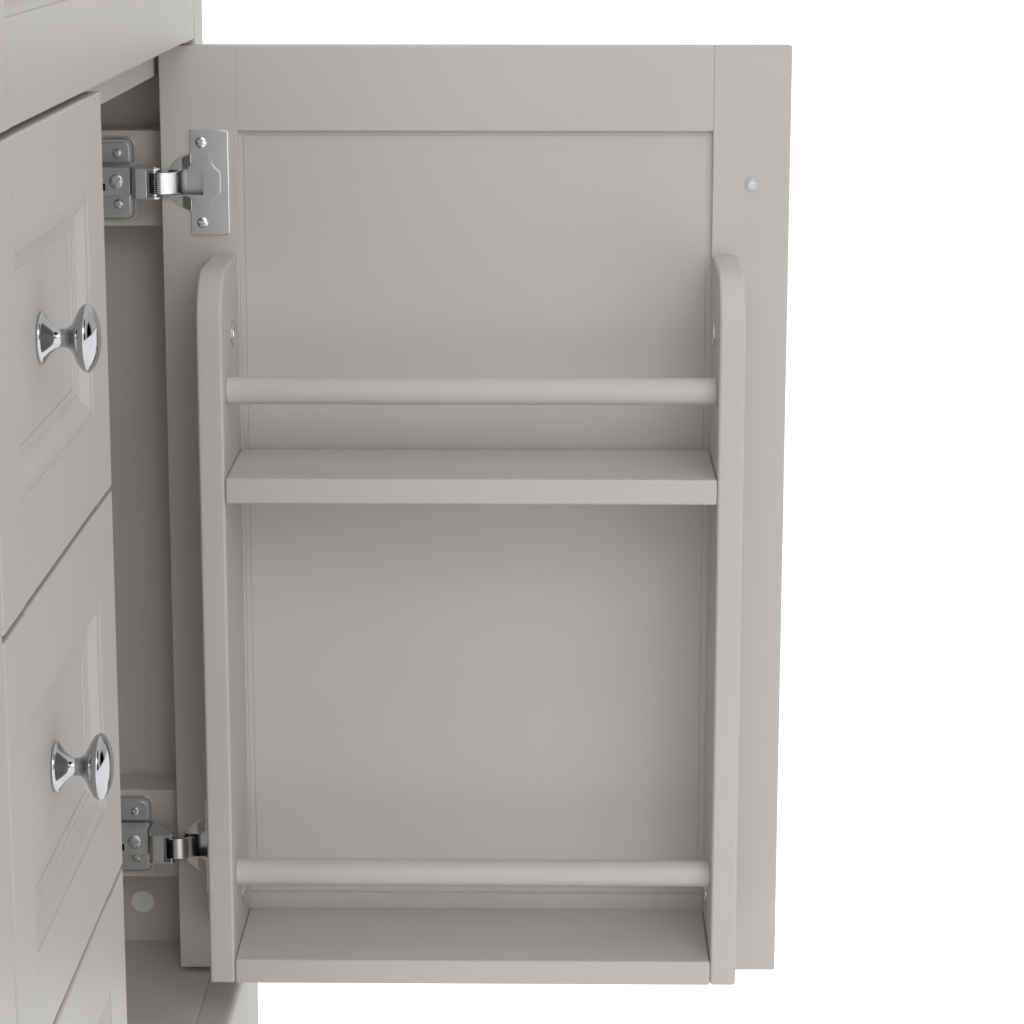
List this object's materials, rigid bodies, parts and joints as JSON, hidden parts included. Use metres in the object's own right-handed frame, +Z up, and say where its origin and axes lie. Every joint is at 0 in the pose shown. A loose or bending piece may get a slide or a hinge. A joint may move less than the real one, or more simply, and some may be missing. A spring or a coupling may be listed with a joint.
{
  "type": "pantry cabinet",
  "caption": "Tall painted pantry cabinet with inset frame-and-panel drawers and doors on cup hinges, and a spice rack on the inside of the lower door.",
  "frame": {"origin": "on the floor, under the middle of the case", "axes": "+X to the right when facing the front, -Y out of the front, +Z up"},
  "size_m": [0.838, 0.7618, 1.829],
  "materials": {
    "cabinet_paint": "satin dove-grey paint on wood",
    "hinge_steel": "nickel-plated pressed steel",
    "runner_steel": "zinc-plated pressed steel",
    "hinge_nickel": "polished nickel plate",
    "knob_chrome": "polished chrome plate",
    "cover_plastic": "moulded white plastic"
  },
  "bodies": {
    "case": {"corner_posts": "cabinet_paint", "middle_rail": "cabinet_paint", "deck_rail": "cabinet_paint", "head_rail": "cabinet_paint", "left_side_panel": "cabinet_paint", "right_side_panel": "cabinet_paint", "back_panel": "cabinet_paint", "floor_panel": "cabinet_paint", "base_bearers": "cabinet_paint", "base_moulding": "cabinet_paint", "divider": "cabinet_paint", "drawer_deck": "cabinet_paint", "upper_deck": "cabinet_paint", "upper_shelves": "cabinet_paint", "shelf_cleats": "cabinet_paint", "top_panel": "cabinet_paint", "crown_moulding": "cabinet_paint", "hinge_blocks": "cabinet_paint", "hinge_plates": "hinge_steel", "hinge_arms": "hinge_steel", "cam_covers": "cover_plastic", "runner_cleats": "cabinet_paint", "runner_channels": "runner_steel"},
    "wide_drawer": {"wide_drawer_front": "cabinet_paint", "wide_drawer_box": "cabinet_paint", "wide_drawer_knobs": "knob_chrome", "wide_drawer_runners": "runner_steel"},
    "top_drawer": {"top_drawer_front": "cabinet_paint", "top_drawer_box": "cabinet_paint", "top_drawer_knob": "knob_chrome", "top_drawer_runners": "runner_steel"},
    "centre_drawer": {"centre_drawer_front": "cabinet_paint", "centre_drawer_box": "cabinet_paint", "centre_drawer_knob": "knob_chrome", "centre_drawer_runners": "runner_steel"},
    "bottom_drawer": {"bottom_drawer_front": "cabinet_paint", "bottom_drawer_box": "cabinet_paint", "bottom_drawer_knob": "knob_chrome", "bottom_drawer_runners": "runner_steel"},
    "rack_door_links": {"rack_door_hinge_links": "hinge_nickel"},
    "rack_door": {"rack_door_stiles": "cabinet_paint", "rack_door_rails": "cabinet_paint", "rack_door_panel": "cabinet_paint", "rack_door_knob": "knob_chrome", "rack_door_hinge_cups": "hinge_nickel", "rack_sides": "cabinet_paint", "rack_shelves": "cabinet_paint", "rack_dowels": "cabinet_paint", "rack_cams": "hinge_nickel"},
    "left_door_links": {"left_door_hinge_links": "hinge_nickel"},
    "left_door": {"left_door_frame": "cabinet_paint", "left_door_panel": "cabinet_paint", "left_door_knob": "knob_chrome", "left_door_hinge_cups": "hinge_nickel"},
    "right_door_links": {"right_door_hinge_links": "hinge_nickel"},
    "right_door": {"right_door_frame": "cabinet_paint", "right_door_panel": "cabinet_paint", "right_door_knob": "knob_chrome", "right_door_hinge_cups": "hinge_nickel"}
  },
  "joints": [
    {"name": "wide_drawer_slide", "type": "slide", "parent": "case", "child": "wide_drawer", "axis": [0, -1, 0], "range_m": [0, 0.3]},
    {"name": "top_drawer_slide", "type": "slide", "parent": "case", "child": "top_drawer", "axis": [0, -1, 0], "range_m": [0, 0.3]},
    {"name": "centre_drawer_slide", "type": "slide", "parent": "case", "child": "centre_drawer", "axis": [0, -1, 0], "range_m": [0, 0.3]},
    {"name": "bottom_drawer_slide", "type": "slide", "parent": "case", "child": "bottom_drawer", "axis": [0, -1, 0], "range_m": [0, 0.3]},
    {"name": "rack_door_link_turn", "type": "hinge", "parent": "case", "child": "rack_door_links", "pos_m": [0.313, -0.18, 0.38675], "axis": [0, 0, 1], "range_deg": [-1.53, 9.42]},
    {"name": "rack_door_swing", "type": "hinge", "parent": "rack_door_links", "child": "rack_door", "pos_m": [0.32363, -0.19357, 0.38675], "axis": [0, 0, 1], "range_deg": [-99.4, 16]},
    {"name": "left_door_link_turn", "type": "hinge", "parent": "case", "child": "left_door_links", "pos_m": [-0.313, -0.18, 1.2815], "axis": [0, 0, -1], "range_deg": [-10.93, 0]},
    {"name": "left_door_swing", "type": "hinge", "parent": "left_door_links", "child": "left_door", "pos_m": [-0.3257, -0.19165, 1.2815], "axis": [0, 0, -1], "range_deg": [0, 115.4]},
    {"name": "right_door_link_turn", "type": "hinge", "parent": "case", "child": "right_door_links", "pos_m": [0.313, -0.18, 1.2815], "axis": [0, 0, 1], "range_deg": [-10.93, 0]},
    {"name": "right_door_swing", "type": "hinge", "parent": "right_door_links", "child": "right_door", "pos_m": [0.3257, -0.19165, 1.2815], "axis": [0, 0, 1], "range_deg": [0, 115.4]}
  ],
  "couplings": [
    {"joint": "rack_door_link_turn", "follows": "rack_door_swing", "ratio": -0.094567},
    {"joint": "left_door_link_turn", "follows": "left_door_swing", "ratio": -0.094567},
    {"joint": "right_door_link_turn", "follows": "right_door_swing", "ratio": -0.094567}
  ]
}
